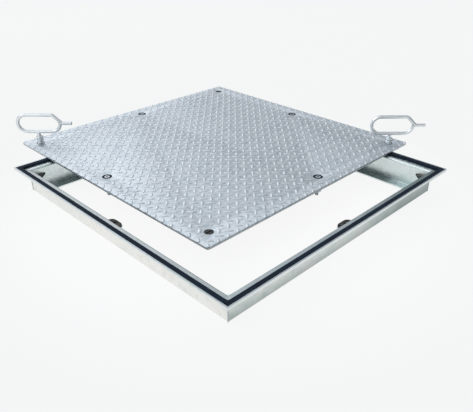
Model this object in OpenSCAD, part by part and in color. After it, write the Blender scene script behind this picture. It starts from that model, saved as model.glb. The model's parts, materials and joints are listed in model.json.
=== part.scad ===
// Recessed chequer plate access cover: a mitred frame of folded zinc-coated sheet with a seal,
// and its tread plate cover lying on the frame's lip, slid back, with two lifting keys in it.
// Millimetres, +Z up. The origin is the centre of the clear way, on the floor under the frame.
// +X and +Y run square to the two back rails, and the photograph looks along +X and +Y together.

/* [Frame] */

// Clear way through the frame, between the bottom flanges
clear_way = 600; // [300:1:1200]

// Width of each bottom flange, from the wall's inner face to the clear way
flange_width = 25; // [15:0.5:60]

// Thickness of the folded sheet
sheet = 3; // [2:0.5:5]

// Height of the frame, from the floor to the top of its lip
frame_height = 60; // [52:0.5:120]

// Width of the ledge, from the wall's inner face to the lip's inner face
ledge_width = 25; // [20:0.5:33]

// Depth of the ledge's top below the lip's top
ledge_depth = 5; // [4.5:0.5:6]

// Inside radius of the folds
fold_radius = 1.5; // [0.5:0.25:3]

/* [Seal] */

// Width of the rubber strip on the ledge
seal_width = 9; // [6:0.5:14]

// Thickness of the strip, on which the shut cover lies
seal_thickness = 4.5; // [3:0.5:4.5]

// Radius inside the strip's corners
seal_corner = 4; // [1:0.5:20]

/* [Corner gussets] */

// Legs of the three-cornered gusset that is welded into each corner
gusset_leg = 31.5; // [30:0.5:60]

// Thickness of the gusset
gusset_thickness = 4; // [2:0.5:8]

// Depth of the gusset's top below the lip's top
gusset_drop = 22; // [20:0.5:28]

// Anchor hole in the gusset
gusset_hole = 9; // [5:0.5:9.5]

// Distance of the anchor hole from both walls
gusset_hole_inset = 10; // [8:0.5:10.5]

/* [Side lugs] */

// Distance from the axis of the bush to the nose of the lug
lug_nose = 12; // [11:0.5:20]

// Width of the lug
lug_width = 42; // [30:0.5:60]

// Radius of the lug's two nose corners
lug_corner = 13; // [4:0.5:15]

// Thickness of the lug
lug_thickness = 4; // [3:0.5:8]

// Depth of the lug's top below the lip's top
lug_drop = 33; // [31:0.5:38]

// Thickness of the rubber pad on the lug
pad_thickness = 3; // [1:0.5:4]

// Width of bare steel left round the pad
pad_margin = 1.5; // [0.5:0.25:4]

// Outside of the threaded bush where it stands in the lug and the pad
bush_barrel = 14; // [12:0.5:16]

// Outside of the bush's flange, under the lug
bush_flange = 19; // [17:0.5:24]

// Thickness of the flange
bush_flange_thickness = 3; // [2:0.5:5]

// Length of the bush's tail under its flange
bush_tail = 5; // [3:0.5:8]

/* [Cover plate] */

// Gap between the edge of the shut cover and the frame's lip
cover_clearance = 6; // [2:0.5:7]

// Thickness of the plate without its tears
plate_thickness = 5; // [4.5:0.5:8]

// Radius of the plate's corners
plate_corner = 10; // [3:0.5:16]

// Distance from the plate's edge to the screws and to the plugged sockets
fixing_inset = 39; // [38:0.5:44]

// Distance from the plate's edge to the two sockets that hold the keys
key_inset = 33; // [32:0.5:44]

// How far the screws near the two front edges stand from the middle of their edge
screw_shift = 25; // [0:1:60]

// Pitch of the tears that run one way, along the plate's edge
tear_pitch = 30; // [25:0.5:45]

// Length of a tear
tear_length = 22; // [14:0.5:24]

// Width of a tear
tear_width = 7.5; // [4:0.5:9]

// Height of a tear above the plate
tear_height = 1.6; // [0.8:0.1:2.5]

// Bare border between the outermost tears and the plate's edge
tear_border = 3; // [1:0.5:20]

/* [Where the cover lies] */

// Slide of the cover along +X from its seat in the frame
slide_x = 73; // [50:1:90]

// Slide of the cover along +Y from its seat in the frame
slide_y = 130; // [110:1:150]

// Turn of the cover on the lip, in degrees
slide_turn = 0.4; // [0:0.1:1]

/* [Locking screws] */

// Thread of the countersunk screw, and of the bush that it turns in
screw_thread = 8; // [6:0.5:9]

// Outside of the screw's head
screw_head = 16; // [14:0.5:17]

// Height of the straight rim round the head
screw_rim = 0.5; // [0.25:0.25:1]

// Depth of the head's top below the plate
screw_sink = 0.25; // [0:0.05:0.5]

// Length of the screw with its head
screw_length = 45; // [38:0.5:50]

// Width across the flats of the hexagon socket in the head
screw_socket = 5; // [3:0.5:6]

// Outside of the sealing ring round the head
ring_outside = 22; // [20:0.5:26]

// Thickness of the sealing ring
ring_thickness = 1.5; // [1:0.25:2]

// Room between the screw and the holes that it only passes through
screw_clearance = 1; // [0.5:0.25:1.5]

// Outside of the distance tube under the plate
ferrule_outside = 20; // [18:0.5:24]

/* [Key sockets] */

// Round hole in the plate over each key socket
key_hole = 19; // [17.5:0.5:20]

// Outside of the blind socket under the plate
socket_outside = 24; // [22:0.5:26]

// Height of the socket, less than the depth from the closed cover to the gusset
socket_height = 14; // [12:0.5:14.5]

// Thickness of the socket's closed floor
socket_floor = 3; // [2:0.5:4]

// Thread of the sockets, the keys and the plugs
key_thread = 16; // [12:0.5:17]

// Length of the plug's thread
plug_thread_length = 8; // [4:0.5:9]

// Width of the slot across the plug
plug_slot = 2.5; // [1:0.5:4]

// Depth of the slot, and of the plug's top below the plate
plug_slot_depth = 2; // [1:0.5:3]

/* [Lifting keys] */

// Thickness of the round bar
key_bar = 8; // [6:0.5:10]

// Length of the loop, outside
key_loop_length = 112; // [100:1:116]

// Height of the loop, outside
key_loop_height = 51; // [48:1:60]

// Shift of the loop from the middle of the shank, towards the tail
key_loop_shift = 4; // [2:0.5:5]

// Distance from the shank's axis to the end of the straight tail
key_tail_end = 85; // [78:1:110]

// Length of the threaded shank
key_shank_length = 27; // [24:0.5:36]

// Gap between the shank and the loop's lower bar
key_neck = 8; // [4:0.5:14]

// Radius of the bend from the neck into the lower bar
key_neck_bend = 7; // [5:0.5:10]

// Distance from the shank's axis to where the upper bar turns down towards the tail
key_shoulder = 39.5; // [37:0.5:41]

// Thickness of the rounded knuckle where the bar turns sharply
key_knuckle = 8.4; // [8.2:0.1:9]

// Thread of the left key inside its socket
left_key_engaged = 5; // [3:0.5:8]

// Thread of the right key inside its socket
right_key_engaged = 9; // [5:0.5:9]

/* [Hidden] */

$fn = 48;

wall_in = clear_way / 2 + flange_width;
wall_out = wall_in + sheet;
lip_in = wall_in + ledge_width;
lip_out = lip_in + sheet;
ledge_top = frame_height - ledge_depth;
fold_outside = fold_radius + sheet;
seal_out = lip_in - fold_radius;
seal_in = seal_out - seal_width;

plate_side = 2 * (lip_in - cover_clearance);
fixing = plate_side / 2 - fixing_inset;
keying = plate_side / 2 - key_inset;
lug_top = frame_height - lug_drop;
pad_top = lug_top + pad_thickness;
closed_underside = ledge_top + seal_thickness;
ferrule_length = closed_underside - pad_top;

plate_top = frame_height + plate_thickness;
overlap = 1;
hex_sides = 6;

// Screw places and key socket places on the plate, from its centre
screw_front_right = [screw_shift, -fixing];
screw_front_left = [-fixing, screw_shift];
screw_back_right = [fixing, 0];
screw_back_left = [0, fixing];
screws = [screw_front_right, screw_front_left, screw_back_right, screw_back_left];
socket_front = [-fixing, -fixing];
socket_right = [keying, -keying];
socket_back = [fixing, fixing];
socket_left = [-keying, keying];
sockets = [socket_front, socket_right, socket_back, socket_left];

// Turn about +Z that brings the +X side of the frame to each of its sides
back_right = 0;
back_left = 90;
front_left = 180;
front_right = 270;

zinc = [0.80, 0.83, 0.86];
bright_zinc = [0.90, 0.92, 0.94];
rubber = [0.08, 0.12, 0.17];
black_plastic = [0.15, 0.16, 0.17];

// Frame

module fold(centre, turn) {
    translate(centre)
        rotate(turn)
            intersection() {
                difference() {
                    circle(r = fold_outside);
                    circle(r = fold_radius);
                }
                square(fold_outside);
            }
}

// Section through a rail: distance from the middle of the frame across, height up
module rail_section() {
    translate([clear_way / 2, 0])
        square([flange_width + sheet - fold_outside, sheet]);
    fold([wall_out - fold_outside, fold_outside], -90);
    translate([wall_in, fold_outside])
        square([sheet, ledge_top - 2 * fold_outside]);
    fold([wall_in + fold_outside, ledge_top - fold_outside], 90);
    translate([wall_in + fold_outside, ledge_top - sheet])
        square([ledge_width + sheet - 2 * fold_outside, sheet]);
    fold([lip_out - fold_outside, ledge_top - sheet + fold_outside], -90);
}

// Section through the upright lip that the rail's last fold turns up into
module lip_section() {
    translate([lip_in, ledge_top - sheet + fold_outside])
        square([sheet, ledge_depth + sheet - fold_outside]);
}

// Everything between the two 45 degree planes in which a rail meets its neighbours
module mitre_wedge() {
    reach = lip_out + overlap;
    translate([0, 0, -overlap])
        linear_extrude(height = frame_height + 2 * overlap)
            polygon([[0, 0], [reach, -reach], [reach, reach]]);
}

// One side of the frame: a length of the section that is given, mitred at both ends
module mitred_side(side) {
    color(zinc)
        rotate([0, 0, side])
            intersection() {
                translate([0, lip_out, 0])
                    rotate([90, 0, 0])
                        linear_extrude(height = 2 * lip_out)
                            children();
                mitre_wedge();
            }
}

module frame_rail(side) {
    mitred_side(side)
        rail_section();
}

module frame_lip(side) {
    mitred_side(side)
        lip_section();
}

module rounded_square(side, radius) {
    straight = side - 2 * radius;
    square([side, straight], center = true);
    square([straight, side], center = true);
    for (x = [-1, 1], y = [-1, 1])
        translate([x * straight / 2, y * straight / 2])
            circle(r = radius);
}

module frame_seal() {
    color(rubber)
        translate([0, 0, ledge_top])
            linear_extrude(height = seal_thickness)
                difference() {
                    square(2 * seal_out, center = true);
                    rounded_square(2 * seal_in, seal_corner);
                }
}

module corner_gusset(side) {
    color(zinc)
        rotate([0, 0, side])
            translate([wall_in, wall_in, frame_height - gusset_drop - gusset_thickness])
                linear_extrude(height = gusset_thickness)
                    difference() {
                        polygon([[0, 0], [-gusset_leg, 0], [0, -gusset_leg]]);
                        translate([-gusset_hole_inset, -gusset_hole_inset])
                            circle(d = gusset_hole);
                    }
}

// Outline of a lug, or of the pad that stands back from its edge by the margin
module lug_outline(margin) {
    nose = fixing - lug_nose + margin;
    width = lug_width - 2 * margin;
    radius = lug_corner - margin;
    translate([nose + radius, -width / 2])
        square([wall_in - margin - nose - radius, width]);
    translate([nose, -width / 2 + radius])
        square([radius, width - 2 * radius]);
    for (y = [-1, 1])
        translate([nose + radius, y * (width / 2 - radius)])
            circle(r = radius);
}

module side_lug(side, along) {
    color(zinc)
        rotate([0, 0, side])
            translate([0, along, lug_top - lug_thickness])
                linear_extrude(height = lug_thickness)
                    difference() {
                        lug_outline(0);
                        translate([fixing, 0])
                            circle(d = bush_barrel);
                    }
}

module lug_pad(side, along) {
    color(rubber)
        rotate([0, 0, side])
            translate([0, along, lug_top])
                linear_extrude(height = pad_thickness)
                    difference() {
                        lug_outline(pad_margin);
                        translate([fixing, 0])
                            circle(d = bush_barrel);
                    }
}

// The bush comes up through the lug and the pad, and its flange is welded under the lug
module lug_bush(side, along) {
    flange_top = lug_top - lug_thickness;
    flange_bottom = flange_top - bush_flange_thickness;
    bottom = flange_bottom - bush_tail;
    color(bright_zinc)
        rotate([0, 0, side])
            translate([fixing, along, 0])
                difference() {
                    union() {
                        translate([0, 0, bottom])
                            cylinder(d = bush_barrel, h = pad_top - bottom);
                        translate([0, 0, flange_bottom])
                            cylinder(d = bush_flange, h = bush_flange_thickness);
                    }
                    translate([0, 0, bottom - overlap])
                        cylinder(d = screw_thread, h = pad_top - bottom + 2 * overlap);
                }
}

// Cover

// Puts what is drawn about the middle of the plate's top where the cover lies
module on_cover() {
    translate([slide_x, slide_y, plate_top])
        rotate([0, 0, slide_turn])
            children();
}

// A long ridge whose sides lean in to one edge along its top
module ridge(turn) {
    half_length = tear_length / 2;
    half_width = tear_width / 2;
    side = half_length * half_width / norm([half_length, half_width]);
    spread = (tear_height + overlap) / tear_height;
    rotate([90, 0, 90 + turn])
        linear_extrude(height = 2 * tear_length, center = true)
            polygon([[-side * spread, -overlap], [side * spread, -overlap], [0, tear_height]]);
}

// One tear of the tread, where two ridges cross at a narrow angle
module tear() {
    slant = atan2(tear_width, tear_length);
    intersection() {
        ridge(slant);
        ridge(-slant);
    }
}

function far_from(place, others, room) = len([for (p = others) if (norm(place - p) < room) 1]) == 0;

// Tears that run one way stand on a square lattice, and those that cross them in its middles
module tear_field(shift, turn) {
    reach = plate_side / 2 - tear_border - (tear_length + tear_width) / 2 * cos(45);
    room = (ring_outside + tear_length) / 2;
    count = ceil(plate_side / tear_pitch / 2);
    for (i = [-count:count], j = [-count:count]) {
        place = [i + shift, j + shift] * tear_pitch;
        if (max(abs(place[0]), abs(place[1])) <= reach && far_from(place, concat(screws, sockets), room))
            translate(place)
                rotate([0, 0, turn])
                    tear();
    }
}

module cover_plate() {
    seat_depth = (screw_head - screw_thread - screw_clearance) / 2;
    seat_top = screw_sink + screw_rim;
    color(zinc)
        on_cover()
            difference() {
                union() {
                    translate([0, 0, -plate_thickness])
                        linear_extrude(height = plate_thickness)
                            rounded_square(plate_side, plate_corner);
                    tear_field(0, 45);
                    tear_field(0.5, -45);
                }
                for (place = screws)
                    translate(place) {
                        translate([0, 0, -ring_thickness])
                            cylinder(d = ring_outside, h = ring_thickness + overlap);
                        translate([0, 0, -seat_top - seat_depth])
                            cylinder(d1 = screw_thread + screw_clearance, d2 = screw_head, h = seat_depth);
                        translate([0, 0, -plate_thickness - overlap])
                            cylinder(d = screw_thread + screw_clearance, h = plate_thickness);
                    }
                for (place = sockets)
                    translate([place[0], place[1], -plate_thickness - overlap])
                        cylinder(d = key_hole, h = plate_thickness + 2 * overlap);
            }
}

module screw_ferrule(place) {
    color(zinc)
        on_cover()
            translate([place[0], place[1], -plate_thickness - ferrule_length])
                difference() {
                    cylinder(d = ferrule_outside, h = ferrule_length);
                    translate([0, 0, -overlap])
                        cylinder(d = screw_thread + screw_clearance, h = ferrule_length + 2 * overlap);
                }
}

module screw_ring(place) {
    color(rubber)
        on_cover()
            translate([place[0], place[1], -ring_thickness])
                difference() {
                    cylinder(d = ring_outside, h = ring_thickness);
                    translate([0, 0, -overlap])
                        cylinder(d = screw_head, h = ring_thickness + 2 * overlap);
                }
}

module locking_screw(place) {
    cone = (screw_head - screw_thread) / 2;
    point = screw_thread / 2 - overlap;
    color(bright_zinc)
        on_cover()
            translate([place[0], place[1], -screw_sink])
                difference() {
                    rotate_extrude()
                        polygon([
                            [0, 0],
                            [screw_head / 2, 0],
                            [screw_head / 2, -screw_rim],
                            [screw_thread / 2, -screw_rim - cone],
                            [screw_thread / 2, overlap - screw_length],
                            [point, -screw_length],
                            [0, -screw_length]
                        ]);
                    translate([0, 0, -cone])
                        cylinder(d = screw_socket / cos(180 / hex_sides), h = cone + overlap, $fn = hex_sides);
                }
}

module key_socket(place) {
    color(zinc)
        on_cover()
            translate([place[0], place[1], -plate_thickness - socket_height])
                difference() {
                    cylinder(d = socket_outside, h = socket_height);
                    translate([0, 0, socket_floor])
                        cylinder(d = key_thread, h = socket_height);
                }
}

module socket_plug(place) {
    head = plate_thickness - screw_sink;
    color(black_plastic)
        on_cover()
            translate([place[0], place[1], -plate_thickness])
                difference() {
                    union() {
                        cylinder(d = key_hole - screw_clearance, h = head);
                        translate([0, 0, -plug_thread_length])
                            cylinder(d = key_thread, h = plug_thread_length + head);
                    }
                    translate([-key_hole / 2, -plug_slot / 2, head - plug_slot_depth])
                        cube([key_hole, plug_slot, plug_slot_depth + overlap]);
                }
}

// Lifting key: its loop stands in the XZ plane and its shank goes down the Z axis

module key_straight(from, to) {
    step = to - from;
    translate([from[0], 0, from[1]])
        rotate([0, atan2(step[0], step[1]), 0])
            cylinder(d = key_bar, h = norm(step));
}

module key_bend(centre, radius, start, sweep) {
    translate([centre[0], 0, centre[1]])
        rotate([90, 0, 0])
            rotate_extrude(angle = sweep, start = start)
                translate([radius, 0])
                    circle(d = key_bar);
}

module key_knuckle(place) {
    translate([place[0], 0, place[1]])
        sphere(d = key_knuckle);
}

// The bar runs from the neck to the left, round, along the top and slanting down into the straight
// tail. The loop is closed below the tail by the bar that carries on from the neck
module lifting_key(place, engaged) {
    shank_top = key_shank_length - plate_thickness - engaged;
    round = (key_loop_height - key_bar) / 2;
    lower = shank_top + key_neck + key_bar / 2;
    middle = lower + round;
    upper = middle + round;
    left = key_loop_shift - (key_loop_length - key_bar) / 2 + round;
    right = key_loop_shift + (key_loop_length - key_bar) / 2;
    shoulder = [key_shoulder, upper];
    tail = [key_shoulder + round, middle];
    closing = [right, middle + tail[0] - right];
    color(bright_zinc)
        on_cover()
            translate(place)
                rotate([0, 0, -45]) {
                    translate([0, 0, shank_top - key_shank_length])
                        cylinder(d = key_thread, h = key_shank_length);
                    key_straight([0, shank_top - overlap], [0, lower - key_neck_bend]);
                    key_bend([-key_neck_bend, lower - key_neck_bend], key_neck_bend, 0, 90);
                    key_straight([left, lower], [right - round, lower]);
                    key_bend([left, middle], round, 90, 180);
                    key_straight([left, upper], shoulder);
                    key_knuckle(shoulder);
                    key_straight(shoulder, tail);
                    key_knuckle(tail);
                    key_straight(tail, [key_tail_end, middle]);
                    key_bend([right - round, middle], round, 270, 90);
                    key_straight([right, middle], closing);
                    key_knuckle(closing);
                }
}

frame_rail(back_right);  // frame_rail_back_right
frame_rail(back_left);  // frame_rail_back_left
frame_rail(front_left);  // frame_rail_front_left
frame_rail(front_right);  // frame_rail_front_right
frame_lip(back_right);  // frame_lip_back_right
frame_lip(back_left);  // frame_lip_back_left
frame_lip(front_left);  // frame_lip_front_left
frame_lip(front_right);  // frame_lip_front_right
corner_gusset(back_right);  // corner_gusset_back
corner_gusset(back_left);  // corner_gusset_left
corner_gusset(front_left);  // corner_gusset_front
corner_gusset(front_right);  // corner_gusset_right
side_lug(back_right, 0);  // side_lug_back_right
side_lug(back_left, 0);  // side_lug_back_left
side_lug(front_left, -screw_shift);  // side_lug_front_left
side_lug(front_right, screw_shift);  // side_lug_front_right
lug_pad(back_right, 0);  // lug_pad_back_right
lug_pad(back_left, 0);  // lug_pad_back_left
lug_pad(front_left, -screw_shift);  // lug_pad_front_left
lug_pad(front_right, screw_shift);  // lug_pad_front_right
lug_bush(back_right, 0);  // lug_bush_back_right
lug_bush(back_left, 0);  // lug_bush_back_left
lug_bush(front_left, -screw_shift);  // lug_bush_front_left
lug_bush(front_right, screw_shift);  // lug_bush_front_right
frame_seal();
cover_plate();
key_socket(socket_back);  // key_socket_back
key_socket(socket_left);  // key_socket_left
key_socket(socket_front);  // key_socket_front
key_socket(socket_right);  // key_socket_right
socket_plug(socket_back);  // socket_plug_back
socket_plug(socket_front);  // socket_plug_front
lifting_key(socket_left, left_key_engaged);  // lifting_key_left
lifting_key(socket_right, right_key_engaged);  // lifting_key_right
screw_ferrule(screw_back_right);  // screw_ferrule_back_right
screw_ferrule(screw_back_left);  // screw_ferrule_back_left
screw_ferrule(screw_front_left);  // screw_ferrule_front_left
screw_ferrule(screw_front_right);  // screw_ferrule_front_right
screw_ring(screw_back_right);  // screw_ring_back_right
screw_ring(screw_back_left);  // screw_ring_back_left
screw_ring(screw_front_left);  // screw_ring_front_left
screw_ring(screw_front_right);  // screw_ring_front_right
locking_screw(screw_back_right);  // locking_screw_back_right
locking_screw(screw_back_left);  // locking_screw_back_left
locking_screw(screw_front_left);  // locking_screw_front_left
locking_screw(screw_front_right);  // locking_screw_front_right
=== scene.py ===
# %% [markdown]
# # A chequer plate access cover, slid back on its frame
#
# The real thing is a square frame of folded, mitred and galvanised sheet that is cast into a
# floor. A rubber strip lies on its ledge, and a cover of galvanised tread plate shuts it. Here
# the cover lies on the frame's lip, slid back from the camera, with two loop-shaped lifting keys
# screwed into two of its corners. This lesson dresses a measured CAD model: it keeps the CAD
# pieces that already have the right shape, and gives each a finish. It models the cover with its
# tread, the keys, the screws and their sealing rings again, with the detail that a CAD model
# leaves out, and adds the welds that hold the frame's fittings.

# %% Load the measured model
import json
import math

import bmesh
import bpy
from mathutils import Matrix, Vector

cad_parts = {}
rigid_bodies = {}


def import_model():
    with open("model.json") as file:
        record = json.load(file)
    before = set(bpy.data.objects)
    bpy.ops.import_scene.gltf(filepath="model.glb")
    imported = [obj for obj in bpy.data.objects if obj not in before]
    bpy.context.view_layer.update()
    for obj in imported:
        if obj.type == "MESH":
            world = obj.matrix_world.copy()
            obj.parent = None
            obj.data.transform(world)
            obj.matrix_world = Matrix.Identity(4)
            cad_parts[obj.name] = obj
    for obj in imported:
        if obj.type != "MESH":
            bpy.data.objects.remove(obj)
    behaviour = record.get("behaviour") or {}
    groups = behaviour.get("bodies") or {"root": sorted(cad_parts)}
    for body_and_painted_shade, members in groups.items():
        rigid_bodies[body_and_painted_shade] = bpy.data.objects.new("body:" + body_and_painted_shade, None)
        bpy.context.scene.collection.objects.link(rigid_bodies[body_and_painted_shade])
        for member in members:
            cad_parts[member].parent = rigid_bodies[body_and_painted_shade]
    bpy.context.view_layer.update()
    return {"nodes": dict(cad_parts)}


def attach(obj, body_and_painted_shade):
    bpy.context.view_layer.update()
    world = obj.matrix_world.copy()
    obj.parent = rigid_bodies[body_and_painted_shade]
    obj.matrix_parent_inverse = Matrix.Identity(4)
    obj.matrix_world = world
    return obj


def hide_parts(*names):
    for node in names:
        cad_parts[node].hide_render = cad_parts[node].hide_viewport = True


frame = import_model()
scene = bpy.context.scene
print("CAD pieces:", len(frame["nodes"]))

# %% [markdown]
# ## Sizes
#
# The model is in metres, and a maker thinks in millimetres, so each size is written as a number
# times `MM`. The cover is modelled lying flat about its own middle, with the top of its sheet at
# zero, and then `ON_COVER` carries it to where it lies. That is how a cover is really made: it is
# finished on a bench, and afterwards it is put on its frame. Its screws and plugged sockets
# stand 305 mm from its middle lines, and the two sockets with keys in them 311 mm.

# %% Sizes and the place of the cover
MM = 0.001
SIDE = 688 * MM
THICK = 5 * MM
LIP_TOP = 60 * MM
SLIDE = (73 * MM, 130 * MM)
TURN = math.radians(0.4)
ON_COVER = Matrix.Translation((*SLIDE, LIP_TOP + THICK)) @ Matrix.Rotation(TURN, 4, "Z")

FIXING, KEYING, SHIFT = 305 * MM, 311 * MM, 25 * MM
SCREWS = {
    "front_right": (SHIFT, -FIXING),
    "front_left": (-FIXING, SHIFT),
    "back_right": (FIXING, 0.0),
    "back_left": (0.0, FIXING),
}
SOCKETS = {
    "front": (-FIXING, -FIXING),
    "right": (KEYING, -KEYING),
    "back": (FIXING, FIXING),
    "left": (-KEYING, KEYING),
}
print("cover slid by", [round(s / MM) for s in SLIDE], "mm")

# %% [markdown]
# ## Camera
#
# A picture of a flat square thing gives its own camera away: its parallel edges meet at two
# vanishing points. From those, the camera stands about 0.85 m from the near corner, looks 29
# degrees down and straight along the diagonal, through a lens that is nearly the normal one. A
# camera should have no roll, and this one has a quarter of a degree.

# %% Camera
YAW, PITCH, ROLL = math.radians(45.18), math.radians(28.87), math.radians(0.27)
IMAGE_WIDTH, FOCAL_PIXELS = 473, 546.5
STAND = Vector((-0.8024, -0.8172, 0.5921))

level = math.cos(PITCH)
forward = Vector((math.sin(YAW) * level, math.cos(YAW) * level, -math.sin(PITCH)))
right = Vector((math.cos(YAW), -math.sin(YAW), 0))
above = right.cross(forward)
aim = Matrix((right, above, -forward)).transposed() @ Matrix.Rotation(ROLL, 3, "Z")

lens = bpy.data.cameras.new("photo_lens")
lens.sensor_width = 36
lens.lens = FOCAL_PIXELS / IMAGE_WIDTH * lens.sensor_width
camera = bpy.data.objects.new("photo_camera", lens)
scene.collection.objects.link(camera)
camera.matrix_world = Matrix.Translation(STAND) @ aim.to_4x4()
scene.camera = camera
print("lens", round(lens.lens, 1), "mm, from the middle", round(STAND.length, 2), "m")

# %% [markdown]
# ## Helpers for finishes
#
# A colour is written as the hex value that a screen shows, and one function turns it into the
# linear numbers that light is reckoned in. One small function adds a shader node with its
# settings and its links, and the stops of a colour ramp are settings too. Every pattern reads
# Object coordinates, so its scale is one divided by a real size in metres, and it stays where it
# is on the piece.

# %% Colour and node helpers
def linear(hex_colour):
    """The linear RGBA of an sRGB hex colour such as 'C8D0D6'."""
    shares = [int(hex_colour[i : i + 2], 16) / 255 for i in (0, 2, 4)]
    return (*[s / 12.92 if s <= 0.04045 else ((s + 0.055) / 1.055) ** 2.4 for s in shares], 1.0)


def add(tree, kind, sockets=None, stops=(), **settings):
    """Adds a node of that kind. What goes into a socket is a value, or another node's output.

    The stops of a colour ramp are pairs of a position and a hex colour or a grey level.
    """
    node = tree.nodes.new("ShaderNode" + kind)
    for name, value in settings.items():
        setattr(node, name, value)
    for name, value in (sockets or {}).items():
        if isinstance(value, bpy.types.NodeSocket):
            tree.links.new(value, node.inputs[name])
        else:
            node.inputs[name].default_value = value
    if stops:
        for position, _ in stops[1:-1]:
            node.color_ramp.elements.new(position)
        for element, (position, tone) in zip(node.color_ramp.elements, stops):
            element.position = position
            element.color = linear(tone) if isinstance(tone, str) else (tone, tone, tone, 1)
    return node


def new_finish(name):
    """A new material, its node tree, its shader and its Object coordinates."""
    material = bpy.data.materials.new(name)
    material.use_nodes = True
    tree = material.node_tree
    place = add(tree, "TexCoord").outputs["Object"]
    return material, tree, tree.nodes["Principled BSDF"], place


print("white paper in linear light:", [round(share, 2) for share in linear("F1F2F2")])

# %% [markdown]
# ## Hot-dip galvanised sheet
#
# The frame is welded and then dipped in molten zinc, which freezes into flat crystals, the
# spangle. Each crystal lies at its own angle, so it is a little brighter or duller than the
# next, and a little smoother or rougher. Voronoi cells are made for that: one random value for
# each cell, with their straight borders bent by a noise. The crystals here are about 9 mm, and
# slow patches of 45 mm shift the whole coat between bluish, greenish and faintly pink. The coat
# can also be darkened where it faces up, such as on the ledge and the top of the lip, along the
# foot of a rail and towards its far end: these three are painted shade.

# %% Galvanised sheet
def galvanised(
    name, dull, bright, patches,
    crystal=9 * MM, roughness=(0.30, 0.46), relief=0.12 * MM,
    level="FFFFFF", foot="FFFFFF", end="FFFFFF",
):
    """Spangled zinc, with painted shade: level, foot or end multiply it where it faces up, lies
    low or far.
    """
    material, tree, shader, place = new_finish(name)
    wobble = add(tree, "TexNoise", {"Vector": place, "Scale": 1 / crystal, "Detail": 2.0})
    bend = {0: wobble.outputs["Color"], "Scale": crystal * 0.5}
    bent = add(tree, "VectorMath", bend, operation="SCALE")
    moved = add(tree, "VectorMath", {0: place, 1: bent.outputs["Vector"]}, operation="ADD")
    cells = add(tree, "TexVoronoi", {"Vector": moved.outputs["Vector"], "Scale": 1 / crystal})
    value = add(tree, "SeparateColor", {"Color": cells.outputs["Color"]}).outputs["Red"]
    spangle = add(tree, "ValToRGB", {"Fac": value}, [(0.0, dull), (0.55, bright), (1.0, bright)])
    slow = {"Vector": place, "Scale": 1 / (45 * MM), "Detail": 3.0, "Roughness": 0.55}
    cloud = add(tree, "TexNoise", slow).outputs["Fac"]
    tint = add(tree, "ValToRGB", {"Fac": cloud}, list(zip((0.30, 0.50, 0.70), patches)))
    both = {"Factor": 0.55, "A": spangle.outputs["Color"], "B": tint.outputs["Color"]}
    colour = add(tree, "Mix", both, data_type="RGBA")

    normal = add(tree, "NewGeometry").outputs["Normal"]
    facing = add(tree, "SeparateXYZ", {"Vector": normal}).outputs
    along = add(tree, "SeparateXYZ", {"Vector": place}).outputs
    # Painted shade: level darkens what faces up, foot what lies low, end what lies far along X.
    for measure, stops in (
        (facing["Z"], [(0.3, "FFFFFF"), (0.8, level)]),
        (along["Z"], [(4 * MM, foot), (40 * MM, "FFFFFF")]),
        (along["X"], [(20 * MM, "FFFFFF"), (200 * MM, end)]),
    ):
        shade = add(tree, "ValToRGB", {"Fac": measure}, stops).outputs["Color"]
        both = {"Factor": 1.0, "A": colour.outputs["Result"], "B": shade}
        colour = add(tree, "Mix", both, data_type="RGBA", blend_type="MULTIPLY")
    tree.links.new(colour.outputs["Result"], shader.inputs["Base Color"])

    rough = {"Value": value, "To Min": roughness[0], "To Max": roughness[1]}
    tree.links.new(add(tree, "MapRange", rough).outputs["Result"], shader.inputs["Roughness"])
    runs = add(tree, "TexNoise", {"Vector": place, "Scale": 1 / (4 * MM), "Detail": 4.0})
    height = add(tree, "Math", {0: runs.outputs["Fac"], 1: value}, operation="ADD")
    relief_of = {"Height": height.outputs["Value"], "Distance": relief, "Strength": 0.5}
    tree.links.new(add(tree, "Bump", relief_of).outputs["Normal"], shader.inputs["Normal"])
    shader.inputs["Metallic"].default_value = 1.0
    print("finish:", name)
    return material


# %% [markdown]
# ## One bath, five coats
#
# Each rail is cut from its own sheet, so the crystals of the two in front differ. The left coat
# is paler and more even, which is painted light, and its tops are darker, which is painted shade.
# The right one is more mottled, with bigger crystals, and darker on its tops, along its foot and
# towards its far end, which is painted shade. The back rails are greener. The lips are a little
# greyer on top, which is painted shade. The fittings are thick pieces that cool slowly, and that
# makes their coat grey all over, with small crystals.

# %% The galvanised coats
sheet_zinc = galvanised(
    "galvanised_sheet", "C6D5D5", "E9F1F1", ("D3E3DE", "DCE8E7", "E4EAE9")
)
# A paler copy of the sheet's coat, which is painted light; level darkens its tops: painted shade.
left_zinc = galvanised(
    "galvanised_sheet_pale", "DDE0DC", "F6F5F2", ("E6EAE6", "EFF0EC", "F3EFEA"), level="B4BBBF"
)
# Painted shade: level, foot and end darken its tops, its foot and its far end.
right_zinc = galvanised(
    "galvanised_sheet_mottled", "C4CECC", "F1F4F3", ("DDE8E4", "EEF3F1", "F4F1F1"),
    crystal=11 * MM, level="BFC6CA", foot="BFC5C4", end="C9D0D0",
)
# Painted shade: level makes the lip greyer on top.
lip_zinc = galvanised(
    "galvanised_lip", "CCD5D6", "EEF1F1", ("D9E2DF", "E3E9EA", "EAE8E8"), level="C0C6CA"
)
fitting_zinc = galvanised(
    "galvanised_fitting", "A9B2B8", "CCD3D8", ("AEB8B8", "BFC8CE", "C9C5CA"), crystal=5 * MM
)
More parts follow.
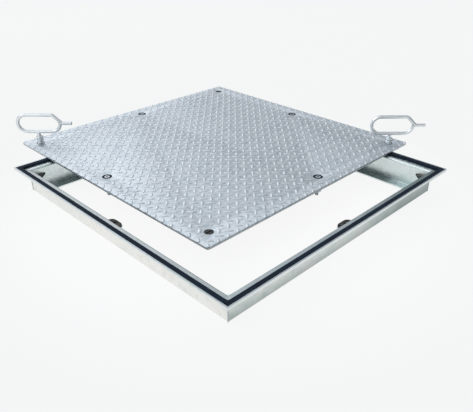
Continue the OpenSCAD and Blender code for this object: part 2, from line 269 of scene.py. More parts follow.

# %% [markdown]
# ## Galvanised tread plate
#
# Tread plate is rolled hot between patterned rolls, and its skin is duller and bluer than that
# of cold sheet. The tears stand proud, so boots and crates rub them brighter and smoother, and
# the lighter colour of their crests is also a painted highlight. Height is simply the Object Z
# coordinate, so measuring it from the top of the sheet lightens the ridges alone. The cut edge
# is a little darker, because shears leave it torn, and the underside much darker, which is
# painted shade.

# %% Tread plate
def tread_finish(name):
    material, tree, shader, place = new_finish(name)
    cells = add(tree, "TexVoronoi", {"Vector": place, "Scale": 1 / (6 * MM)})
    value = add(tree, "SeparateColor", {"Color": cells.outputs["Color"]}).outputs["Red"]
    slow = add(tree, "TexNoise", {"Vector": place, "Scale": 1 / (60 * MM), "Detail": 4.0})
    both = add(tree, "Math", {0: value, 1: slow.outputs["Fac"]}, operation="ADD")
    skin_stops = [(0.35, "B9C3CA"), (0.75, "C9D1D7"), (1.0, "D4DADE")]
    skin = add(tree, "ValToRGB", {"Fac": both.outputs["Value"]}, skin_stops)

    # The crests are lightened by height: partly wear, partly a painted highlight.
    height = add(tree, "SeparateXYZ", {"Vector": place}).outputs["Z"]
    top = LIP_TOP + THICK
    ridge = {"Value": height, "From Min": top + 0.7 * MM, "From Max": top + 1.5 * MM}
    wear_and_painted_highlight = add(tree, "MapRange", ridge).outputs["Result"]
    both = {"Factor": wear_and_painted_highlight, "A": skin.outputs["Color"], "B": linear("DDE2E6")}
    crests_worn_and_highlit = add(tree, "Mix", both, data_type="RGBA")

    normal = add(tree, "NewGeometry").outputs["Normal"]
    facing = add(tree, "SeparateXYZ", {"Vector": normal}).outputs["Z"]
    share = add(tree, "MapRange", {"Value": facing, "From Min": -1.0, "From Max": 1.0})
    # Faces that look down are multiplied by 5E6468: painted shade under the sheet.
    painted_underside_shade_stops = [(0.35, "5E6468"), (0.45, "E6E8EA"), (0.55, "E6E8EA"), (0.70, "FFFFFF")]
    sides = add(tree, "ValToRGB", {"Fac": share.outputs["Result"]}, painted_underside_shade_stops)
    both = {"Factor": 1.0, "A": crests_worn_and_highlit.outputs["Result"], "B": sides.outputs["Color"]}
    colour = add(tree, "Mix", both, data_type="RGBA", blend_type="MULTIPLY")
    tree.links.new(colour.outputs["Result"], shader.inputs["Base Color"])

    rough = add(tree, "MapRange", {"Value": wear_and_painted_highlight, "To Min": 0.50, "To Max": 0.36})
    tree.links.new(rough.outputs["Result"], shader.inputs["Roughness"])
    grain = add(tree, "TexNoise", {"Vector": place, "Scale": 1 / (1.5 * MM), "Detail": 3.0})
    relief = {"Height": grain.outputs["Fac"], "Distance": 0.1 * MM, "Strength": 0.4}
    tree.links.new(add(tree, "Bump", relief).outputs["Normal"], shader.inputs["Normal"])
    shader.inputs["Metallic"].default_value = 1.0
    print("finish:", name)
    return material


tread_zinc = tread_finish("galvanised_tread_plate")

# %% [markdown]
# ## Bright zinc plate
#
# The keys are electroplated: a thin, even coat that copies the smooth drawn steel below it, so it
# is nearly white and glossy. Hands and hooks wear it, so it has slow spots that are a little
# greyer and duller. A dark tint of its glancing reflections gives the bar its thin grey outline.

# %% Bright zinc
def bright_finish(name):
    material, tree, shader, place = new_finish(name)
    slow = add(tree, "TexNoise", {"Vector": place, "Scale": 1 / (12 * MM), "Detail": 4.0})
    wear = slow.outputs["Fac"]
    coat_stops = [(0.30, "DCE2E5"), (0.55, "E9EDEF"), (0.75, "EFF2F3")]
    coat = add(tree, "ValToRGB", {"Fac": wear}, coat_stops)
    tree.links.new(coat.outputs["Color"], shader.inputs["Base Color"])
    rough = add(tree, "MapRange", {"Value": wear, "To Min": 0.30, "To Max": 0.16})
    tree.links.new(rough.outputs["Result"], shader.inputs["Roughness"])
    fine = add(tree, "TexNoise", {"Vector": place, "Scale": 1 / (0.8 * MM), "Detail": 2.0})
    relief = {"Height": fine.outputs["Fac"], "Distance": 0.03 * MM, "Strength": 0.15}
    tree.links.new(add(tree, "Bump", relief).outputs["Normal"], shader.inputs["Normal"])
    shader.inputs["Specular Tint"].default_value = linear("6E7F86")
    shader.inputs["Metallic"].default_value = 1.0
    print("finish:", name)
    return material


bright_zinc = bright_finish("bright_zinc_plate")

# %% [markdown]
# ## Rubber and plastic
#
# The seal is solid EPDM rubber, a black that leans to blue, with a dull skin from its mould. It
# reflects very little, which is why it draws such a dark line round the frame. The two plugs are
# moulded polyethylene: a shade greyer, and slightly waxy. Both get a fine grain, and the rubber
# gets a bloom, the grey film that old rubber sweats out.

# %% Rubber and plastic
def moulded(name, colours, roughness, specular, grain):
    material, tree, shader, place = new_finish(name)
    slow = add(tree, "TexNoise", {"Vector": place, "Scale": 1 / (18 * MM), "Detail": 5.0})
    bloom = slow.outputs["Fac"]
    skin = add(tree, "ValToRGB", {"Fac": bloom}, list(zip((0.35, 0.75), colours)))
    tree.links.new(skin.outputs["Color"], shader.inputs["Base Color"])
    rough = {"Value": bloom, "To Min": roughness[0], "To Max": roughness[1]}
    tree.links.new(add(tree, "MapRange", rough).outputs["Result"], shader.inputs["Roughness"])
    fine = add(tree, "TexNoise", {"Vector": place, "Scale": 1 / grain, "Detail": 2.0})
    relief = {"Height": fine.outputs["Fac"], "Distance": 0.1 * MM, "Strength": 0.5}
    tree.links.new(add(tree, "Bump", relief).outputs["Normal"], shader.inputs["Normal"])
    shader.inputs["Specular IOR Level"].default_value = specular
    print("finish:", name)
    return material


seal_rubber = moulded("epdm_rubber", ("0D1A28", "16283A"), (0.75, 0.9), 0.2, 0.8 * MM)
plug_plastic = moulded("moulded_polyethylene", ("141719", "23282B"), (0.38, 0.52), 0.4, 0.5 * MM)

# %% [markdown]
# ## Dusty rubber, and dark steel that is painted shade
#
# The pads on the side lugs, the bushes in them and the corner gussets collect water and grit.
# The pads are black rubber, and the bushes and gussets get a nearly black body, which is painted
# shade. Faces that look up turn greyish brown, which is partly dust and partly painted light on
# the tops. The normal's Z tells which faces those are, and a noise breaks the dust up.

# %% Dust, painted light and painted shade
def dust_and_painted_light(name, body_and_painted_shade, dust_and_lit_top, metallic, roughness):
    material, tree, shader, place = new_finish(name)
    patches = add(tree, "TexNoise", {"Vector": place, "Scale": 1 / (9 * MM), "Detail": 4.0})
    where = {"Value": patches.outputs["Fac"], "From Min": 0.42, "From Max": 0.62}
    dust_and_light_patches = add(tree, "MapRange", where).outputs["Result"]
    normal = add(tree, "NewGeometry").outputs["Normal"]
    facing = add(tree, "SeparateXYZ", {"Vector": normal}).outputs["Z"]
    # Faces that look up take the dust colour, which is partly painted light on the tops.
    flat = add(tree, "MapRange", {"Value": facing, "From Min": 0.5, "From Max": 0.95})
    both = {0: dust_and_light_patches, 1: flat.outputs["Result"]}
    share = add(tree, "Math", both, operation="MULTIPLY").outputs["Value"]
    both = {"Factor": share, "A": linear(body_and_painted_shade), "B": linear(dust_and_lit_top)}
    colour = add(tree, "Mix", both, data_type="RGBA")
    tree.links.new(colour.outputs["Result"], shader.inputs["Base Color"])
    rough = add(tree, "MapRange", {"Value": share, "To Min": roughness, "To Max": 0.95})
    tree.links.new(rough.outputs["Result"], shader.inputs["Roughness"])
    grit = add(tree, "TexNoise", {"Vector": place, "Scale": 1 / MM, "Detail": 3.0})
    relief = {"Height": grit.outputs["Fac"], "Distance": 0.1 * MM, "Strength": 0.6}
    tree.links.new(add(tree, "Bump", relief).outputs["Normal"], shader.inputs["Normal"])
    shader.inputs["Metallic"].default_value = metallic
    shader.inputs["Specular IOR Level"].default_value = 0.25
    print("finish:", name)
    return material


pad_rubber = dust_and_painted_light("rubber_dust_painted_light", "151D20", "5E5A52", 0.0, 0.8)
# The nearly black bodies of the gussets and the bushes are painted shade.
painted_shade_gusset_steel = dust_and_painted_light("dark_gusset_steel", "2A3132", "77736A", 0.35, 0.55)
painted_shade_bush_steel = dust_and_painted_light("dark_bush_steel", "3A3F40", "6A675F", 0.7, 0.5)

# %% [markdown]
# ## Finishes for the CAD pieces
#
# A CAD piece is never moved or reshaped here. It only gets its finish, by the first line of the
# list that its name starts with. The gusset in the front corner lies in the open, so it has the
# sheet's own zinc; the dark coat of the other three gussets and of the bushes is painted shade.
# The cover, screws, rings and keys are modelled again below, so their CAD pieces won't be seen.

# %% Put the finishes on the CAD pieces
FINISHES = (
    ("frame_rail_front_left", left_zinc),
    ("frame_rail_front_right", right_zinc),
    ("frame_rail", sheet_zinc),
    ("frame_lip", lip_zinc),
    ("frame_seal", seal_rubber),
    ("corner_gusset_front", sheet_zinc),
    ("corner_gusset", painted_shade_gusset_steel),
    ("side_lug", sheet_zinc),
    ("lug_pad", pad_rubber),
    ("lug_bush", painted_shade_bush_steel),
    ("cover_plate", tread_zinc),
    ("key_socket", fitting_zinc),
    ("screw_ferrule", fitting_zinc),
    ("screw_ring", seal_rubber),
    ("socket_plug", plug_plastic),
    ("locking_screw", bright_zinc),
    ("lifting_key", bright_zinc),
)
for name, node in frame["nodes"].items():
    finish = next(finish for start, finish in FINISHES if name.startswith(start))
    for slot in node.material_slots:
        slot.material = finish
print("finished CAD pieces:", len(frame["nodes"]))

# %% [markdown]
# ## Helpers for shapes
#
# An operator acts on everything that is selected, so each piece starts with nothing selected.
# In edit mode, `pick` selects by place what the next operator should act on. `turned` works like
# a lathe: it starts with a disc and pulls it through a list of radii and heights.

# %% Selecting and turning
def nothing_selected():
    if bpy.context.mode != "OBJECT":
        bpy.ops.object.mode_set(mode="OBJECT")
    bpy.ops.object.select_all(action="DESELECT")


def edit(piece):
    """Opens the piece alone in edit mode."""
    nothing_selected()
    bpy.context.view_layer.objects.active = piece
    piece.select_set(True)
    bpy.ops.object.mode_set(mode="EDIT")


def pick(piece, kind, test):
    """Selects the vertices, edges or faces whose place passes the test, in edit mode."""
    bpy.ops.mesh.select_mode(type=kind)
    bpy.ops.mesh.select_all(action="DESELECT")
    mesh = bmesh.from_edit_mesh(piece.data)
    for element in {"VERT": mesh.verts, "EDGE": mesh.edges, "FACE": mesh.faces}[kind]:
        element.select_set(bool(test(element)))
    bmesh.update_edit_mesh(piece.data)


def face_outwards():
    """Points all faces of the piece in edit mode outwards, and leaves edit mode."""
    bpy.ops.mesh.select_all(action="SELECT")
    bpy.ops.mesh.normals_make_consistent(inside=False)
    nothing_selected()


def turned(profile, sides=48):
    """A solid turned on a lathe through a list of (radius, height)."""
    nothing_selected()
    (radius, height), *rest = profile
    bpy.ops.mesh.primitive_circle_add(
        vertices=sides, radius=radius, fill_type="NGON", location=(0, 0, height)
    )
    piece = bpy.context.object
    bpy.ops.object.transform_apply(location=True)
    edit(piece)
    bpy.ops.mesh.select_all(action="SELECT")
    for wider, higher in rest:
        rise, scale = (0, 0, higher - height), wider / radius
        bpy.ops.mesh.extrude_region_move(TRANSFORM_OT_translate={"value": rise})
        bpy.ops.transform.resize(value=(scale, scale, 1), center_override=(0, 0, higher))
        radius, height = wider, higher
    face_outwards()
    return piece


trial = turned([(4 * MM, 0), (4 * MM, 10 * MM)])
print("a turned pin has", len(trial.data.polygons), "faces")
bpy.data.meshes.remove(trial.data)  # a mesh takes its object with it

# %% [markdown]
# ## Cutting, copying and finishing
#
# A hole is made by a cutter that has the shape of the drill, and the cutter is thrown away. A
# repeated piece is modelled once, and each copy gets a mesh of its own. `done` names a finished
# piece, gives it its finish, and says which CAD piece it stands for.

# %% Cutting, copying and finishing
def cut(piece, cutter):
    """Takes the cutter's shape out of the piece, and throws the cutter away."""
    nothing_selected()
    bpy.context.view_layer.objects.active = piece
    modifier = piece.modifiers.new("cut", "BOOLEAN")
    modifier.operation, modifier.solver, modifier.object = "DIFFERENCE", "EXACT", cutter
    bpy.ops.object.modifier_apply(modifier=modifier.name)
    bpy.data.objects.remove(cutter)


def copy_at(piece, matrix):
    """A copy with a mesh of its own, put in place by the matrix."""
    twin = bpy.data.objects.new(piece.name, piece.data.copy())
    scene.collection.objects.link(twin)
    twin.data.transform(matrix)
    return twin


def joined(pieces):
    """The pieces as one object."""
    nothing_selected()
    for piece in pieces:
        piece.select_set(True)
    bpy.context.view_layer.objects.active = pieces[0]
    bpy.ops.object.join()
    return bpy.context.object


def done(piece, name, finish, place=None, replaces=(), smooth=40):
    """Finishes a piece: place, name, finish, smooth faces, and what it stands for."""
    if place is not None:
        piece.data.transform(place)
    piece.name = piece.data.name = name
    piece.data.materials.clear()
    piece.data.materials.append(finish)
    nothing_selected()
    bpy.context.view_layer.objects.active = piece
    piece.select_set(True)
    bpy.ops.object.shade_smooth_by_angle(angle=math.radians(smooth))
    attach(piece, "root")
    if replaces:
        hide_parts(*replaces)
    print(f"{name}: {sum(len(p.vertices) - 2 for p in piece.data.polygons)} triangles")


# %% [markdown]
# ## The cover's sheet
#
# The cover is a 5 mm sheet, sheared square, with its corners rounded so that they don't cut
# hands. It has a countersunk and recessed hole for each screw, and a plain hole over each key
# socket. The sheet starts as a cube at its real size. Its four upright edges are bevelled to
# 6 mm, the holes are cut with turned tools, as a drill and a countersink would cut them, and a
# bevel of 0.3 mm breaks every sharp edge, because an edge with no width never catches light.

# %% The cover's sheet
CORNER, BROKEN_EDGE = 6 * MM, 0.3 * MM
RING_OUT, HEAD_OUT, RECESS = 11 * MM, 8 * MM, -1.5 * MM
BELOW, ABOVE = -6 * MM, MM  # a cutter starts below the sheet and ends above it

nothing_selected()
bpy.ops.mesh.primitive_cube_add(size=1, location=(0, 0, -THICK / 2))
sheet = bpy.context.object
sheet.scale = (SIDE, SIDE, THICK)
bpy.ops.object.transform_apply(location=True, scale=True)
edit(sheet)
pick(sheet, "EDGE", lambda e: abs(e.verts[0].co.z - e.verts[1].co.z) > THICK / 2)
bpy.ops.mesh.bevel(offset=CORNER, segments=6, affect="EDGES")
nothing_selected()

screw_tool = turned([
    (4.5 * MM, BELOW), (4.5 * MM, -4.25 * MM), (HEAD_OUT, -0.75 * MM),
    (HEAD_OUT, RECESS), (RING_OUT, RECESS), (RING_OUT, ABOVE),
])
key_tool = turned([(9.5 * MM, BELOW), (9.5 * MM, ABOVE)])
for tool, places in ((screw_tool, SCREWS), (key_tool, SOCKETS)):
    for x, y in places.values():
        cut(sheet, copy_at(tool, Matrix.Translation((x, y, 0))))
    bpy.data.objects.remove(tool)

bevel = sheet.modifiers.new("broken edges", "BEVEL")
bevel.width, bevel.segments = BROKEN_EDGE, 2
bevel.limit_method, bevel.angle_limit = "ANGLE", math.radians(50)
nothing_selected()
bpy.context.view_layer.objects.active = sheet
bpy.ops.object.modifier_apply(modifier=bevel.name)
done(sheet, "cover_sheet", tread_zinc, ON_COVER, ["cover_plate"], 30)

# %% [markdown]
# ## One tear
#
# The rolls press small ridges, the tears, into the sheet. One tear is modelled from a
# twelve-cornered disc, pulled into a lens, lifted twice and closed to a crest. It starts a
# little below the skin, so that no gap shows under it. There will be about 1500 tears, so each
# has only a few dozen faces.

# %% One tear
HALF_LENGTH, HALF_WIDTH, SUNK = 11 * MM, 3.75 * MM, -0.2 * MM
LIFTS = ((0.85 * MM, 0.92, 0.78), (0.45 * MM, 0.85, 0.60))


def one_tear(turn, place):
    """One tear with its crest along X, then turned and moved."""
    nothing_selected()
    bpy.ops.mesh.primitive_circle_add(vertices=12, radius=1, fill_type="NGON")
    tear = bpy.context.object
    for vertex in tear.data.vertices:
        side = math.copysign(1, vertex.co.y) if abs(vertex.co.y) > 0.01 else 0
        bulge = side * (1 - vertex.co.x**2) ** 0.8
        vertex.co = (HALF_LENGTH * vertex.co.x, HALF_WIDTH * bulge, SUNK)
    edit(tear)
    bpy.ops.mesh.select_all(action="SELECT")
    for lift, length, width in LIFTS:
        bpy.ops.mesh.extrude_region_move(TRANSFORM_OT_translate={"value": (0, 0, lift)})
        bpy.ops.transform.resize(value=(length, width, 1))
    bpy.ops.mesh.poke(offset=0.1 * MM)
    face_outwards()
    tear.data.transform(Matrix.Translation((*place, 0)) @ Matrix.Rotation(turn, 4, "Z"))
    return tear


print("a tear stands", round((sum(lift for lift, _, _ in LIFTS) + SUNK) / MM, 2), "mm high")

# %% [markdown]
# ## The field of tears
#
# The tears stand in two crossing sets at 45 degrees to the edges: each set on a square grid of
# 25.2 mm, which is what the photograph measures, and the second in the middles of the first. Two
# arrays lay a pair of tears over the sheet. The shears cut through the tears at the edge, so
# bisecting planes do that here, and those that would lie under a screw or a key are taken away
# whole.

# %% The field of tears
TEAR_PITCH, COUNT = 25.2 * MM, 28
first = (0.5 - COUNT / 2) * TEAR_PITCH
second = first + TEAR_PITCH / 2
tears = joined([
    one_tear(math.radians(45), (first, first)),
    one_tear(math.radians(-45), (second, second)),
])
for axis in (0, 1):
    row = tears.modifiers.new("row", "ARRAY")
    row.count, row.use_relative_offset, row.use_constant_offset = COUNT, False, True
    row.constant_offset_displace = [TEAR_PITCH if i == axis else 0 for i in range(3)]
    nothing_selected()
    bpy.context.view_layer.objects.active = tears
    bpy.ops.object.modifier_apply(modifier=row.name)
print("tears laid:", 2 * COUNT * COUNT)

# %% [markdown]
# ## Cutting the field to the sheet
#
# A tear that reaches into the bare ring round a screw or a key hole is picked with all that
# hangs together with it, and deleted. Then eight planes trim the field: four just inside the
# straight edges, and four across the rounded corners.

# %% Trim the tears
SCREW_ROOM, SOCKET_ROOM, EDGE_ROOM = 16 * MM, 14 * MM, 0.4 * MM
bare = [(*place, SCREW_ROOM) for place in SCREWS.values()]
bare += [(*place, SOCKET_ROOM) for place in SOCKETS.values()]
edit(tears)
pick(tears, "VERT", lambda v: any(math.hypot(v.co.x - x, v.co.y - y) < r for x, y, r in bare))
bpy.ops.mesh.select_linked(delimit=set())
bpy.ops.mesh.delete(type="VERT")

straight = SIDE / 2 - EDGE_ROOM
diagonal = (SIDE / 2 - CORNER) * math.sqrt(2) + CORNER - EDGE_ROOM
for angle in range(0, 360, 45):
    way = Vector((math.cos(math.radians(angle)), math.sin(math.radians(angle)), 0))
    reach = straight if angle % 90 == 0 else diagonal
    bpy.ops.mesh.select_all(action="SELECT")
    bpy.ops.mesh.bisect(plane_co=way * reach, plane_no=way, clear_outer=True, use_fill=True)
nothing_selected()
done(tears, "cover_tears", tread_zinc, ON_COVER, (), 50)

# %% [markdown]
# ## Threads
#
# A thread is a ridge wound round a rod. A stack of rings would look like one from afar, but its
# ridges would not climb. Here a rod is pulled up in many short steps, and then each corner of
# each ring is moved in or out by where it stands on the winding: its height in pitches, less its
# share of a turn. The rod stays one closed skin, and both its ends run out to the core.

# %% Threaded rod
THREAD_DEPTH = 0.61  # of the pitch, as on a metric thread
STEPS_PER_PITCH = 6


def threaded(outer, pitch, low, high, sides=32):
    """A rod with a helical thread between two heights, and a chamfer at both ends."""
    core = outer - THREAD_DEPTH * pitch
    count = round((high - low) / pitch * STEPS_PER_PITCH)
    heights = [low + (high - low) * i / count for i in range(count + 1)]
    rod = turned([(outer, h) for h in heights], sides)
    for vertex in rod.data.vertices:
        x, y, z = vertex.co
        phase = (z / pitch - math.atan2(y, x) / math.tau) % 1
        tooth = min(1, max(0, 1.15 - 2.76 * abs(phase - 0.5)))  # a ridge with a flat crest
        end = min(1, min(z - low, high - z) / (0.8 * pitch))
        radius = core + (outer - core) * tooth * max(0, end)
        vertex.co.x, vertex.co.y = x * radius / outer, y * radius / outer
    return rod


print("a 2 mm thread is cut", round(THREAD_DEPTH * 2, 2), "mm deep")

# %% [markdown]
# ## Bent bar
#
# The lifting key's loop is an 8 mm round bar, and it is swept here as a bender would work: a
# ring of 20 corners is extruded along each straight, and carried round the centre of each bend
# in steps of about 3 mm. `swept_bar` follows a list of moves, as the bender's own list would.

# %% Bent bar
BAR, BEND_STEP = 4 * MM, 3 * MM


def swept_bar(start, way, moves, sides=20):
    """A round bar in the XZ plane: ('go', length) or ('bend', radius, degrees to the left)."""
    nothing_selected()
    bpy.ops.mesh.primitive_circle_add(vertices=sides, radius=BAR, fill_type="NGON")
    bar = bpy.context.object
    place, way = Vector((start[0], 0, start[1])), Vector((way[0], 0, way[1])).normalized()
    upright = way.to_track_quat("Z", "Y").to_matrix().to_4x4()
    bar.data.transform(Matrix.Translation(place) @ upright)
    edit(bar)
    bpy.ops.mesh.select_all(action="SELECT")
    for move in moves:
        if move[0] == "go":
            place = place + way * move[1]
            bpy.ops.mesh.extrude_region_move(TRANSFORM_OT_translate={"value": way * move[1]})
            continue
        bend, angle = move[1], math.radians(move[2])
        centre = place + Vector((-way.z, 0, way.x)) * math.copysign(bend, angle)
        steps = max(4, round(abs(angle) * bend / BEND_STEP))
        spin = Matrix.Rotation(-angle / steps, 3, "Y")
        for _ in range(steps):
            bpy.ops.mesh.extrude_region_move()
            mesh = bmesh.from_edit_mesh(bar.data)
            for vertex in mesh.verts:
                if vertex.select:
                    vertex.co = centre + spin @ (vertex.co - centre)
            bmesh.update_edit_mesh(bar.data)
            place = centre + spin @ (place - centre)
            way = spin @ way
    face_outwards()
    return bar


print("bar", round(2 * BAR / MM), "mm thick")

# %% [markdown]
# ## Weld beads
#
# A weld is laid by hand in small overlapping pools, so its run is rippled. A turned profile that
# swells and shrinks every 1.6 mm gives that, laid from one point to another.

# %% Weld beads
RIPPLE = 1.6 * MM


def bead(start, end, radius, sides=8):
    """A rippled run of weld between two points."""
    start, end = Vector(start), Vector(end)
    length = (end - start).length
    count = max(2, round(length / RIPPLE))
    profile = [(radius * 0.35, 0)]
    for i in range(count):
        profile.append((radius, (i + 0.35) * length / count))
        profile.append((radius * 0.84, (i + 0.95) * length / count))
    profile.append((radius * 0.35, length))
    run = turned(profile, sides)
    upright = (end - start).to_track_quat("Z", "Y").to_matrix().to_4x4()
    run.data.transform(Matrix.Translation(start) @ upright)
    return run


print("a 40 mm run has", round(40 * MM / RIPPLE), "ripples")

# %% [markdown]
# ## The loop of a lifting key
#
# A key is a threaded shank with a plain collar, and the bent bar is welded on it. The first bar
# runs from the shank to the left, round, along the top and down into the tail, which sticks out.
# The second closes the loop below the tail. A bend of 45 degrees takes something off the
# straights beside it, so each straight is its full length less that share of the bend's radius.

# %% The loop of a key
NECK = 12 * MM
ROUND, NECK_BEND, SHOULDER_BEND, TAIL_BEND = 21.5 * MM, 7 * MM, 7 * MM, 4.5 * MM
SHARE = math.tan(math.radians(45) / 2)
SLOPE = ROUND * math.sqrt(2)  # from the shoulder down to the tail


def key_bars(top):
    """The two bars of a key whose shank ends at the height top."""
    first_bar = swept_bar((0, top - MM), (0, 1), [
        ("go", NECK + MM - NECK_BEND), ("bend", NECK_BEND, 90),
        ("go", 19.5 * MM), ("bend", ROUND, -180),
        ("go", 66 * MM - SHARE * SHOULDER_BEND), ("bend", SHOULDER_BEND, -45),
        ("go", SLOPE - SHARE * (SHOULDER_BEND + TAIL_BEND)), ("bend", TAIL_BEND, 45),
        ("go", 24 * MM - SHARE * TAIL_BEND),
    ])
    second_bar = swept_bar((-NECK_BEND, top + NECK), (1, 0), [
        ("go", 41.5 * MM), ("bend", ROUND, 90), ("go", 5 * MM),
    ])
    return first_bar, second_bar


print("the loop is", round(2 * (ROUND + BAR) / MM), "mm high")

# %% [markdown]
# ## Welds and collar of a key
#
# A small bead of weld sits on both sides where bar meets bar, and where the loop meets its neck.
# The collar is turned: a groove where the thread ends, a plain part, and a rounded top that runs
# up to the bar as a fillet of weld does.

# %% Welds and collar of a key
def key_welds(lower):
    """Four beads on a key whose lower bar has its middle line at that height."""
    middle = lower + ROUND
    welds = []
    for y in (-3.3 * MM, 3.3 * MM):
        above_tail, below_tail = (52.5 * MM, y, middle + 3 * MM), (59 * MM, y, middle - 1.5 * MM)
        welds.append(bead(above_tail, below_tail, 1.5 * MM))
    for y in (-3.2 * MM, 3.2 * MM):
        welds.append(bead((-MM, y, lower - 3 * MM), (3 * MM, y, lower - 3 * MM), 1.5 * MM))
    return welds


COLLAR = [
    (6.9 * MM, -8 * MM), (6.9 * MM, -6.2 * MM), (8 * MM, -5.2 * MM), (8 * MM, -0.8 * MM),
    (7.2 * MM, 0.0), (5.4 * MM, 0.6 * MM), (4.4 * MM, 1.8 * MM),
]
print("the collar is", round(2 * max(radius for radius, _ in COLLAR) / MM), "mm thick")

# %% [markdown]
# ## The two keys
#
# Both keys have the same form, and they differ only in how far they are screwed in: 5 mm at the
# left, and 9 mm at the right. Each stands upright on its socket, with its loop square to the
# line of sight.

# %% The two keys
SHANK = 27 * MM
ENGAGED = {"left": 5 * MM, "right": 9 * MM}

for side, engaged in ENGAGED.items():
    top = SHANK - THICK - engaged
    bars = key_bars(top)
    shank = threaded(8 * MM, 2 * MM, top - SHANK, top - 6 * MM)
    collar = turned([(radius, top + height) for radius, height in COLLAR])
    key = joined([*bars, shank, collar, *key_welds(top + NECK)])
    place = ON_COVER @ Matrix.Translation((*SOCKETS[side], 0))
    place = place @ Matrix.Rotation(math.radians(-45), 4, "Z")
    done(key, f"key_{side}", bright_zinc, place, [f"lifting_key_{side}"], 50)

# %% [markdown]
# ## Screws
#
# Each locking screw is an M8 countersunk one with a hexagon socket. Its head is turned, the
# socket is cut with a six-sided tool, and the thread below is wound as the shank's was. A rubber
# ring sits round the head, and its thin inner lip lies over the head's rim to keep water out.

# %% Screws and their rings
HEAD = [
    (3.9 * MM, -8 * MM), (3.9 * MM, -4.75 * MM), (7.9 * MM, -0.85 * MM),
    (7.9 * MM, -0.6 * MM), (7.7 * MM, -0.4 * MM),
]
RING = [(RING_OUT, RECESS), (RING_OUT, -0.3 * MM), (10.6 * MM, 0.0)]
RING_HOLE = [(8 * MM, -2 * MM), (8 * MM, -0.4 * MM), (6.2 * MM, -0.3 * MM), (6.2 * MM, ABOVE)]

for side, (x, y) in SCREWS.items():
    head = turned(HEAD)
    nothing_selected()
    bpy.ops.mesh.primitive_cylinder_add(
        vertices=6, radius=2.9 * MM, depth=4.5 * MM, location=(0, 0, -2.2 * MM)
    )
    cut(head, bpy.context.object)
    thread = threaded(4 * MM, 1.25 * MM, -45.25 * MM, -7 * MM, 24)
    screw = joined([head, thread])
    place = ON_COVER @ Matrix.Translation((x, y, 0))
    stands_for = [f"locking_screw_{side}"]
    done(screw, f"screw_{side}", fitting_zinc, place, stands_for, 35)
    ring = turned(RING)
    cut(ring, turned(RING_HOLE))
    done(ring, f"ring_{side}", seal_rubber, place, [f"screw_ring_{side}"], 35)

# %% [markdown]
# ## Welds in the frame's corners
#
# Each corner of the frame is mitred and welded: up the outside and the inside of the wall, out
# along the ledge's underside, and along the flange. The gusset is welded below, where the run
# doesn't get in the way. The weld metal is rougher than sheet, so its zinc is greyer, with small
# crystals. One corner is modelled, and the other three are copies.

# %% Corner welds
WALL_IN, WALL_OUT, LEDGE_LOW = 325 * MM, 328 * MM, LIP_TOP - 8 * MM
ON_WALL = WALL_IN - 0.6 * MM  # the middle line of a run that lies on the wall's inside
FLANGE, GUSSET_LOW, GUSSET_TOP = 3 * MM, 34 * MM, 38 * MM
weld_zinc = galvanised(
    "galvanised_weld", "949DA3", "C0C7CC", ("A7B0B0", "B4BCC1", "BDBABD"),
    crystal=2.5 * MM, roughness=(0.36, 0.5), relief=0.2 * MM,
)


def mitre_run(start, end, low, high, radius):
    """A run in the mitre's plane, between two distances from the middle and two heights."""
    return bead((start, start, low), (end, end, high), radius)


below_gusset = GUSSET_LOW - 0.6 * MM
corner = joined([
    mitre_run(WALL_OUT, WALL_OUT, 2 * MM, LEDGE_LOW - MM, 1.1 * MM),
    mitre_run(ON_WALL, ON_WALL, GUSSET_TOP + 0.5 * MM, LEDGE_LOW - 2 * MM, 1.5 * MM),
    mitre_run(ON_WALL, ON_WALL, FLANGE + MM, GUSSET_LOW - MM, 1.5 * MM),
    mitre_run(WALL_OUT + 2 * MM, WALL_OUT + 20 * MM, LEDGE_LOW, LEDGE_LOW, 1.3 * MM),
    mitre_run(301 * MM, WALL_IN - 3 * MM, FLANGE, FLANGE, 1.2 * MM),
    bead((ON_WALL, 296 * MM, below_gusset), (ON_WALL, 321 * MM, below_gusset), 1.5 * MM),
    bead((296 * MM, ON_WALL, below_gusset), (321 * MM, ON_WALL, below_gusset), 1.5 * MM),
])
turns = [Matrix.Rotation(math.radians(angle), 4, "Z") for angle in (90, 180, 270)]
corners = joined([corner, *[copy_at(corner, turn) for turn in turns]])
done(corners, "corner_welds", weld_zinc)

# %% [markdown]
# ## Welds of the lugs
#
# Each side lug has one run along its underside. The two in front stand 25 mm off the middle of
# their side, as their screws do.

# %% Lug welds
LUG_HALF, BELOW_LUG = 19 * MM, 22.4 * MM
lug_runs = []
for angle, along in ((0, 0), (90, 0), (180, -SHIFT), (270, SHIFT)):
    start, end = (ON_WALL, along - LUG_HALF, BELOW_LUG), (ON_WALL, along + LUG_HALF, BELOW_LUG)
    run = bead(start, end, 1.6 * MM)
    run.data.transform(Matrix.Rotation(math.radians(angle), 4, "Z"))
    lug_runs.append(run)
done(joined(lug_runs), "lug_welds", weld_zinc)

# %% [markdown]
# ## Welds under the cover
#
# Each tube and each key socket has a run round its top, where it meets the sheet. A torus has the
# right form for a run that closes on itself, and a wave of 24 ripples is pressed into it.

# %% Welds under the cover
RIPPLES, RUN = 24, 1.3 * MM
round_runs = []
for places, radius in ((SCREWS, 10 * MM), (SOCKETS, 12 * MM)):
    for x, y in places.values():
        nothing_selected()
        bpy.ops.mesh.primitive_torus_add(
            major_radius=radius + 0.3 * MM, minor_radius=RUN, major_segments=48, minor_segments=8
        )
        run = bpy.context.object
        for vertex in run.data.vertices:
            wave = math.cos(math.atan2(vertex.co.y, vertex.co.x) * RIPPLES)
            vertex.co.z *= 0.85 + 0.15 * wave
        run.data.transform(Matrix.Translation((x, y, -THICK - 0.6 * MM)))
        round_runs.append(run)
done(joined(round_runs), "fitting_welds", weld_zinc, ON_COVER)
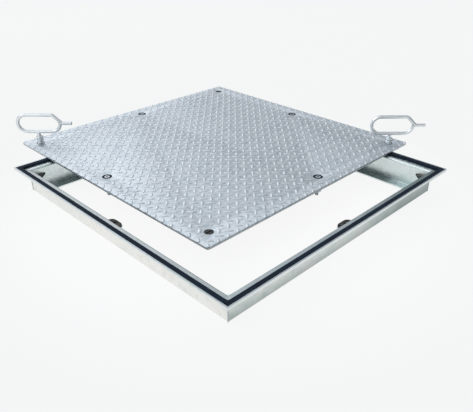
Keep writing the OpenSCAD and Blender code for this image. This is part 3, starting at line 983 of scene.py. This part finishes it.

# %% [markdown]
# ## Floor
#
# A studio shot of a bright metal thing is a picture of the studio. The floor is white paper that
# runs out of the picture, and its middle is a touch brighter, which is a painted pool of light.
# Most of its white is its own, for the camera and for what mirrors it, and the rest is lit, so
# that it keeps the object's shadow.

# %% Floor
OWN_WHITE = 0.9
nothing_selected()
bpy.ops.mesh.primitive_plane_add(size=24, location=(0, 0, -0.3 * MM))
floor = bpy.context.object
floor.name = "studio_floor"
paper, tree, shader, place = new_finish("white_paper")
shader.inputs["Base Color"].default_value = linear("F1F2F2")
shader.inputs["Roughness"].default_value = 0.9
shader.inputs["Specular IOR Level"].default_value = 0.1
# A painted pool of light: the paper's own white is FFFFFF in the middle and F7F8F8 further out.
middle = add(tree, "VectorMath", {0: place, 1: (0.0, 0.0, 0.0)}, operation="DISTANCE")
painted_light_pool_stops = [(0.30, "FFFFFF"), (0.62, "F7F8F8")]
painted_light_pool = add(tree, "ValToRGB", {"Fac": middle.outputs["Value"]}, painted_light_pool_stops)
white = add(tree, "Emission", {"Color": painted_light_pool.outputs["Color"], "Strength": 1.0})
seen = add(tree, "LightPath").outputs
rays = {0: seen["Is Camera Ray"], 1: seen["Is Glossy Ray"]}
either = add(tree, "Math", rays, operation="MAXIMUM")
share = add(tree, "Math", {0: either.outputs["Value"], 1: OWN_WHITE}, operation="MULTIPLY")
parts = {"Fac": share.outputs["Value"], 1: shader.outputs["BSDF"], 2: white.outputs["Emission"]}
mixed = add(tree, "MixShader", parts)
tree.links.new(mixed.outputs["Shader"], tree.nodes["Material Output"].inputs["Surface"])
floor.data.materials.append(paper)
print("floor:", round(floor.dimensions.x), "m wide")

# %% [markdown]
# ## The studio round it
#
# The studio's grey is brighter at the left and darker at the right, which gives the cover its
# slow fall of tone from left to right. It is darkest a little above the horizon, which draws the
# grey lines on the keys, and duller again overhead. Only the camera sees a plain backdrop.

# %% World
LEFT = (-0.72, 0.69, 0.0)
SKY = [  # how bright the studio is, by the height that a ray looks at
    (0.03, 0.62), (0.16, 0.44), (0.27, 0.35), (0.39, 0.64), (0.48, 0.87),
    (0.57, 0.99), (0.66, 1.0), (0.76, 0.90), (0.90, 0.50),
]
world = bpy.data.worlds.new("studio")
scene.world = world
world.use_nodes = True
tree = world.node_tree
way = add(tree, "TexCoord").outputs["Generated"]
left = add(tree, "VectorMath", {0: way, 1: LEFT}, operation="DOT_PRODUCT").outputs["Value"]
fall = {"Value": left, "From Min": -0.5, "From Max": 0.5, "To Min": 0.71, "To Max": 1.76}
side = add(tree, "MapRange", fall)
up = add(tree, "SeparateXYZ", {"Vector": way}).outputs["Z"]
rise = add(tree, "ValToRGB", {"Fac": up}, SKY)
both = {0: side.outputs["Result"], 1: rise.outputs["Color"]}
tone = add(tree, "Math", both, operation="MULTIPLY")
studio = tree.nodes["Background"]
tree.links.new(tone.outputs["Value"], studio.inputs["Strength"])
studio.inputs["Color"].default_value = linear("F1F5FA")
backdrop = add(tree, "Background", {"Color": linear("F4F4F4"), "Strength": 1.0})
seen = add(tree, "LightPath").outputs["Is Camera Ray"]
parts = {"Fac": seen, 1: studio.outputs["Background"], 2: backdrop.outputs["Background"]}
mixed = add(tree, "MixShader", parts)
tree.links.new(mixed.outputs["Shader"], tree.nodes["World Output"].inputs["Surface"])
print("world:", world.name, "with", len(SKY), "levels")

# %% [markdown]
# ## Lamp
#
# One large soft lamp stands behind the object, to the left and above the picture. It adds the
# gleam on those tears that point at the camera, and it is weak, so that nothing clips.

# %% Lamp
lamp_data = bpy.data.lights.new("soft_box", "AREA")
lamp_data.shape, lamp_data.size, lamp_data.energy = "DISK", 2.2, 4.6
lamp = bpy.data.objects.new("soft_box", lamp_data)
scene.collection.objects.link(lamp)
lamp.location = (0.7, 2.4, 1.55)
aim = Vector((0.05, 0.05, 0)) - lamp.location
lamp.rotation_euler = aim.to_track_quat("-Z", "Y").to_euler()
scene.view_settings.view_transform = "Standard"
print("lamp:", round(lamp_data.energy, 1), "W")
